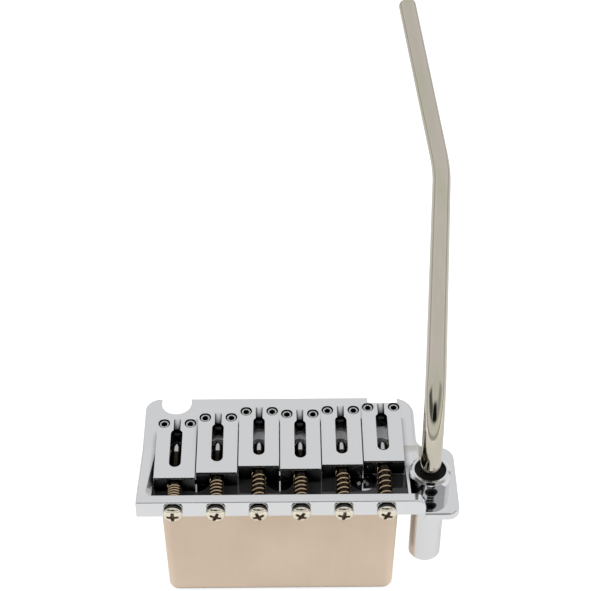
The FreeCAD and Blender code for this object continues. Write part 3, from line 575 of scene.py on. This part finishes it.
def add_head(number, materials):
    """Domed head with a cross recess painted dark and a flank painted black, both as shade."""
    turn = -math.radians(CROSS_TURNS[number - 1])
    rings = head_rings(turn)
    finishes = [materials[name] for name in ("lit_head_nickel", "recess_shade_nickel", "black_steel_and_shade")]
    head = add_mesh("intonation_screw_%d_head" % number, rings, string_matrix(number), finishes)
    points = [Vector(point) for ring in rings for point in ring]
    for polygon in head.data.polygons:
        corners = polygon.vertices
        middle = sum((points[corner] for corner in corners), Vector()) / len(corners)
        # The flank is painted black and the cross recess dark, both as shade
        in_flank = min(corners) // HEAD_SIDES == DOME_STEPS
        in_cross = recess_depth(middle.x, middle.z, turn) > CROSS_SHADE_DEPTH
        polygon.material_index = 2 if in_flank else int(in_cross)
    return head


def add_shank(number, materials):
    """Threaded shank painted dark as shade, with a bright smooth end."""
    rings = thread_rings()
    finishes = [materials[name] for name in ("shaded_thread_steel", "nose_steel")]
    shank = add_mesh("intonation_screw_%d_thread" % number, rings, string_matrix(number), finishes)
    smooth_from = SHANK_REACH - WALL / 2 - SMOOTH_LENGTH
    for polygon in shank.data.polygons:
        first_ring = rings[min(polygon.vertices) // SHANK_SIDES]
        polygon.material_index = int(first_ring[0][1] > smooth_from)
    return shank


def add_screw(number, materials):
    """Pan-head screw with a cross recess and a cut thread, in place of its plain solid."""
    for piece in (add_head(number, materials), add_shank(number, materials)):
        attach(piece, "screw_%d" % number)
        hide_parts("intonation_screw_%d" % number)


# Height screws, in millimetres; their sockets are turned by degrees

SOCKET_SIDES = 48
SOCKET_DEPTH = 1.5
SOCKET_POINT = 0.2
SOCKET_LIP_DEPTH, SOCKET_LIP_WIDTH = 0.06, 0.12
SOCKET_TURN, SOCKET_PAIR_TURN = 17, 40
RIM_WIDTH, RIM_DEPTH = 0.34, 0.3
BODY_PLAY = 0.02

# Rings where faces painted black as shade start: the socket's floor, its sides and the bevel of the rim
PAINTED_SHADE_RINGS = (0, 1, 4)


def height_screw_rings(top, bottom):
    """Rings from the socket's point, up its sides, over the bevelled rim and down to the tip."""
    body = HEIGHT_RADIUS - BODY_PLAY
    floor = top - SOCKET_DEPTH
    return [
        level_circle(CENTRE_RADIUS, floor - SOCKET_POINT, SOCKET_SIDES),
        hexagon(HEIGHT_HEX, floor, SOCKET_SIDES),
        hexagon(HEIGHT_HEX, top - SOCKET_LIP_DEPTH, SOCKET_SIDES),
        hexagon(HEIGHT_HEX + SOCKET_LIP_WIDTH, top, SOCKET_SIDES),
        level_circle(HEIGHT_RADIUS - RIM_WIDTH, top, SOCKET_SIDES),
        level_circle(body, top - RIM_DEPTH, SOCKET_SIDES),
        level_circle(body, bottom + HEIGHT_TIP_CUT, SOCKET_SIDES),
        level_circle(HEIGHT_RADIUS - HEIGHT_TIP_CUT, bottom, SOCKET_SIDES),
    ]


def add_height_screws(number, materials):
    """The saddle's two socket screws with bevelled rims and sockets painted black as shade, in place of their
    plain solids.
    """
    joint = screw_joint(number)
    pitch = math.asin(joint["axis"][2])
    along = WALL / 2 + SPRING_LENGTHS[number - 1] + SADDLE_LENGTH - HEIGHT_SETBACK
    axis_height = joint["pos_m"][2] / MM + along * math.sin(pitch)
    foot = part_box("bass_height_screw_%d" % number)[0].z / MM
    tip_dip = (HEIGHT_RADIUS - HEIGHT_TIP_CUT) * math.sin(pitch)
    bottom = (foot + tip_dip - axis_height) / math.cos(pitch)
    rings = height_screw_rings(SADDLE_TOP - HEIGHT_RECESS, bottom)
    finishes = [materials[name] for name in ("grub_steel", "black_steel_and_shade")]
    for side, name in ((-1, "bass"), (1, "treble")):
        solid = "%s_height_screw_%d" % (name, number)
        offset = Vector((side * HEIGHT_SPACING / 2, along, 0)) * MM
        angle = math.radians(SOCKET_TURN * number + SOCKET_PAIR_TURN * side)
        turn = Matrix.Rotation(angle, 4, "Z")
        place = string_matrix(number) @ Matrix.Translation(offset) @ turn
        piece = add_mesh(solid + "_socket", rings, place, finishes)
        for polygon in piece.data.polygons:
            # Faces of the socket and of the rim's bevel take the black painted shade
            polygon.material_index = int(min(polygon.vertices) // SOCKET_SIDES in PAINTED_SHADE_RINGS)
        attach(piece, "height_screws_%d" % number)
        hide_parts(solid)


# Springs, in millimetres; the wire's ends turn in by radians

SPRING_TURNS = 5.5
SPRING_LEAD = 0.55
COIL_STEPS = 44
COIL_END_STEPS = 8
COIL_END_TURN = 0.35
WIRE_SIDES = 12


def coil_path(length):
    """Points along a spring's wire from the wall to the saddle, with ends that turn to them."""
    rise = length - 2 * SPRING_LEAD
    count = int(SPRING_TURNS * COIL_STEPS)
    points = []
    for step in range(-COIL_END_STEPS, count + COIL_END_STEPS + 1):
        share = min(max(step / count, 0.0), 1.0)
        over = (max(0, -step) + max(0, step - count)) / COIL_END_STEPS * math.pi / 2
        outward = -1 if step < 0 else 1
        angle = 2 * math.pi * SPRING_TURNS * share + outward * COIL_END_TURN * math.sin(over)
        height = SPRING_LEAD + rise * share + outward * SPRING_LEAD * (1 - math.cos(over))
        points.append(Vector((SPRING_RADIUS * math.cos(angle), height,
                              -SPRING_RADIUS * math.sin(angle))))
    return points


def tube(points, radius, sides):
    """Rings of a round tube along a path, turned so that they never twist."""
    rings = []
    normal = Vector((1, 0, 0))
    for number, point in enumerate(points):
        before = points[max(number - 1, 0)]
        after = points[min(number + 1, len(points) - 1)]
        way = (after - before).normalized()
        normal = (normal - way * normal.dot(way)).normalized()
        other = way.cross(normal)
        rings.append([point + (normal * math.cos(angle) + other * math.sin(angle)) * radius
                      for angle in round_angles(sides)])
    return rings


def add_spring(number, material):
    """Coil of round wire between wall and saddle, in place of its plain solid."""
    name = "intonation_spring_%d" % number
    length = SPRING_LENGTHS[number - 1] - 2 * SPRING_PLAY
    start = Matrix.Translation(Vector((0, WALL / 2 + SPRING_PLAY, 0)) * MM)
    place = string_matrix(number) @ start
    rings = tube(coil_path(length), SPRING_WIRE / 2, WIRE_SIDES)
    piece = add_mesh(name + "_coil", rings, place, [material])
    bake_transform(piece)
    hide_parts(name)


# Floor, in metres

FLOOR_REACH = 3.0
FLOOR_WHITE = (0.55, 0.55, 0.55, 1.0)
FLOOR_GLOW = {"Camera": 0.7, "Glossy": 0.2, "Transmission": 0.7}


def white_floor():
    """Diffuse white that also glows a little, by an amount for each kind of ray."""
    material = bpy.data.materials.new("white_floor")
    material.use_nodes = True
    tree = material.node_tree
    tree.nodes.clear()
    rays = node(tree, "ShaderNodeLightPath")
    level = 0.0
    for kind, strength in FLOOR_GLOW.items():
        share = combine(tree, "MULTIPLY", rays.outputs["Is %s Ray" % kind], strength)
        level = combine(tree, "ADD", share, level)
    cover = node(tree, "ShaderNodeBsdfDiffuse", Color=FLOOR_WHITE)
    glow = node(tree, "ShaderNodeEmission")
    feed(tree, level, glow.inputs["Strength"])
    total = node(tree, "ShaderNodeAddShader")
    feed(tree, cover.outputs[0], total.inputs[0])
    feed(tree, glow.outputs[0], total.inputs[1])
    out = node(tree, "ShaderNodeOutputMaterial")
    feed(tree, total.outputs[0], out.inputs["Surface"])
    return material


def add_floor():
    """White sheet under the part, pale enough to vanish and still take its shadow."""
    low = cad_box[0][2]
    corners = [(x * FLOOR_REACH, y * FLOOR_REACH, low)
               for x, y in ((-1, -1), (1, -1), (1, 1), (-1, 1))]
    mesh = bpy.data.meshes.new("floor")
    mesh.from_pydata(corners, [], [(0, 1, 2, 3)])
    mesh.materials.append(white_floor())
    floor = bpy.data.objects.new("floor", mesh)
    bpy.context.scene.collection.objects.link(floor)


# Surroundings: limits of direction, each as where a zone starts and where it is complete

SKY_LEVELS = ((0.0, 0.4), (0.06, 0.42), (0.14, 0.76), (0.5, 0.715), (0.8, 0.725), (1.0, 0.7))
SKY_BLUE = 1.01
BEHIND = (0.02, 0.3)
OVERHEAD = (0.72, 0.88)
LOW_DOWN = (0.5, 0.34)
BASS_SIDE = (-0.35, -0.75)
DIM_LEVEL, BASS_LEVEL = 0.55, 0.14
PATCH_WIDTH = (0.62, 0.36)
PATCH_FOOT = (0.42, 0.52)
PATCH_TOP = (0.92, 0.82)
PATCH_START = (0.0, 0.12)
PATCH_DARKNESS = 0.98
LEAST_REACH = 0.01


def side_level(tree, x, y, z):
    """Level of the surroundings: full behind the part, low down and overhead, dim elsewhere."""
    squares = combine(tree, "ADD", combine(tree, "MULTIPLY", x, x), combine(tree, "MULTIPLY", y, y))
    reach = combine(tree, "MAXIMUM", combine(tree, "SQRT", squares), LEAST_REACH)
    behind = fade(tree, combine(tree, "DIVIDE", y, reach), *BEHIND)
    bass_side = fade(tree, combine(tree, "DIVIDE", x, reach), *BASS_SIDE)
    loss = combine(tree, "MULTIPLY", bass_side, DIM_LEVEL - BASS_LEVEL)
    dim = combine(tree, "SUBTRACT", DIM_LEVEL, loss)
    lit = combine(tree, "MAXIMUM", behind, fade(tree, z, *OVERHEAD))
    lit = combine(tree, "MAXIMUM", lit, fade(tree, z, *LOW_DOWN))
    rest = combine(tree, "MULTIPLY", combine(tree, "SUBTRACT", 1.0, lit), dim)
    return combine(tree, "ADD", lit, rest)


def dark_patch(tree, x, y, z):
    """Level of the surroundings: 1, and nearly 0 around and above the photographer."""
    aside = combine(tree, "ABSOLUTE", x)
    nearer = combine(tree, "MULTIPLY", y, -1.0)
    slant = combine(tree, "DIVIDE", aside, combine(tree, "MAXIMUM", nearer, LEAST_REACH))
    dark = combine(tree, "MULTIPLY", fade(tree, slant, *PATCH_WIDTH),
                   fade(tree, nearer, *PATCH_START))
    for limits in (PATCH_FOOT, PATCH_TOP):
        dark = combine(tree, "MULTIPLY", dark, fade(tree, z, *limits))
    return combine(tree, "SUBTRACT", 1.0, combine(tree, "MULTIPLY", dark, PATCH_DARKNESS))


def add_surroundings():
    """Pale studio all round, with a dark patch where the photographer stood."""
    world = bpy.data.worlds.new("studio")
    bpy.context.scene.world = world
    world.use_nodes = True
    tree = world.node_tree
    tree.nodes.clear()
    split = node(tree, "ShaderNodeSeparateXYZ")
    feed(tree, node(tree, "ShaderNodeTexCoord").outputs["Generated"], split.inputs[0])
    way = [split.outputs[axis] for axis in "XYZ"]
    ramp = node(tree, "ShaderNodeValToRGB")
    stops = ramp.color_ramp.elements
    while len(stops) < len(SKY_LEVELS):
        stops.new(0.5)
    for stop, (position, level) in zip(stops, SKY_LEVELS):
        stop.position = position
        stop.color = (level, level, level * SKY_BLUE, 1.0)
    feed(tree, split.outputs["Z"], ramp.inputs["Fac"])
    shade = combine(tree, "MULTIPLY", dark_patch(tree, *way), side_level(tree, *way))
    around = node(tree, "ShaderNodeBackground")
    feed(tree, ramp.outputs["Color"], around.inputs["Color"])
    feed(tree, shade, around.inputs["Strength"])
    backdrop = node(tree, "ShaderNodeBackground", Color=(1.0, 1.0, 1.0, 1.0), Strength=1.0)
    seen = node(tree, "ShaderNodeMixShader")
    feed(tree, node(tree, "ShaderNodeLightPath").outputs["Is Camera Ray"], seen.inputs[0])
    feed(tree, around.outputs[0], seen.inputs[1])
    feed(tree, backdrop.outputs[0], seen.inputs[2])
    out = node(tree, "ShaderNodeOutputWorld")
    feed(tree, seen.outputs[0], out.inputs["Surface"])


# Lamps: name, place and size in metres, and power in watts

LAMP_TARGET = (0.0, -0.01, -0.01)
LAMPS = (
    ("key", (-0.5, -0.35, 0.75), (0.5, 0.5), 3.0),
    ("fill", (0.7, -0.2, 0.5), (0.4, 0.4), 1.6),
    ("top", (0.0, -0.15, 0.9), (0.2, 0.2), 0.8),
    ("front", (0.1, -0.9, 0.12), (0.7, 0.3), 2.0),
    ("bass_side", (-0.9, -0.2, 0.06), (0.5, 0.3), 5.0),
    ("treble_side", (0.9, -0.2, 0.06), (0.5, 0.3), 5.0),
)


def add_lamp(name, place, size, power):
    """Soft rectangular lamp aimed at the part, which polished metal doesn't mirror."""
    data = bpy.data.lights.new(name, "AREA")
    data.shape = "RECTANGLE"
    data.size, data.size_y = size
    data.energy = power
    lamp = bpy.data.objects.new(name, data)
    lamp.location = place
    from_target = Vector(place) - Vector(LAMP_TARGET)
    lamp.rotation_euler = from_target.to_track_quat("Z", "Y").to_euler()
    lamp.visible_glossy = False
    bpy.context.scene.collection.objects.link(lamp)


bpy.context.scene.view_settings.view_transform = "Standard"
add_camera()
materials = make_materials()
dress_nodes(materials)
for number in STRINGS:
    add_screw(number, materials)
    add_height_screws(number, materials)
    add_spring(number, materials["spring_wire"])
add_floor()
add_surroundings()
for lamp in LAMPS:
    add_lamp(*lamp)
